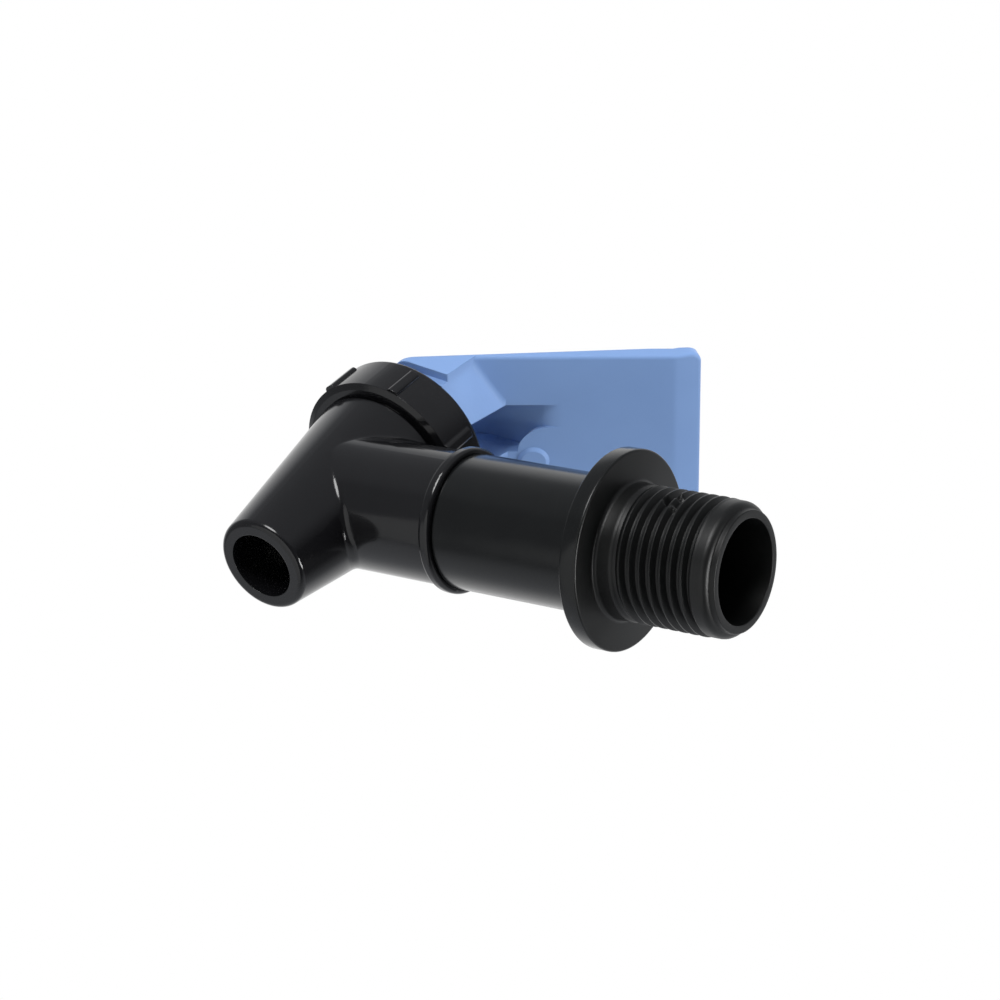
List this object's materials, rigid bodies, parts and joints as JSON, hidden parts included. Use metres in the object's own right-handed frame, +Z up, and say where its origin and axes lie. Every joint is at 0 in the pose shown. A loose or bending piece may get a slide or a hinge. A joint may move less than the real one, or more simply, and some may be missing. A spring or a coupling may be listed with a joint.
{
  "type": "cooler faucet",
  "caption": "Black plastic faucet for a water cooler: flanged, threaded shank, side arm into a cone spout, ribbed bonnet and a blue paddle lever that lifts the stem.",
  "frame": {"origin": "centre of the flange's panel face on the axis of the threaded shank", "axes": "+Y along the thread into the cooler, +Z up with the lever on top and the spout pointing down, +X completes the right-handed frame"},
  "size_m": [0.0324, 0.0814, 0.064],
  "materials": {
    "black_plastic": "moulded, soft gloss",
    "blue_plastic": "moulded, satin",
    "white_plastic": "moulded",
    "silicone": "matt",
    "steel": "drawn wire"
  },
  "bodies": {
    "body": {"body": "black_plastic", "shank": "black_plastic", "bonnet": "black_plastic", "seat_cup": "silicone"},
    "spring": {"spring": "steel"},
    "stem": {"stem": "white_plastic"},
    "handle": {"handle": "blue_plastic", "handle_pin": "steel"}
  },
  "joints": [
    {"name": "handle_swivel", "type": "hinge", "parent": "body", "child": "spring", "pos_m": [0, -0.0497, 0], "axis": [0, 0, 1], "continuous": true},
    {"name": "stem_lift", "type": "slide", "parent": "spring", "child": "stem", "axis": [0, 0, 1], "range_m": [0, 0.00246], "stiffness_N_per_m": 250, "springref_m": -0.004, "deforming": ["spring", "seat_cup"]},
    {"name": "lever_press", "type": "hinge", "parent": "stem", "child": "handle", "pos_m": [0, -0.0497, 0.02148], "axis": [-0.9848, -0.1736, 0], "range_deg": [0, 22]}
  ],
  "couplings": [
    {"joint": "lever_press", "follows": "stem_lift", "rad_per_m": 156.25}
  ]
}
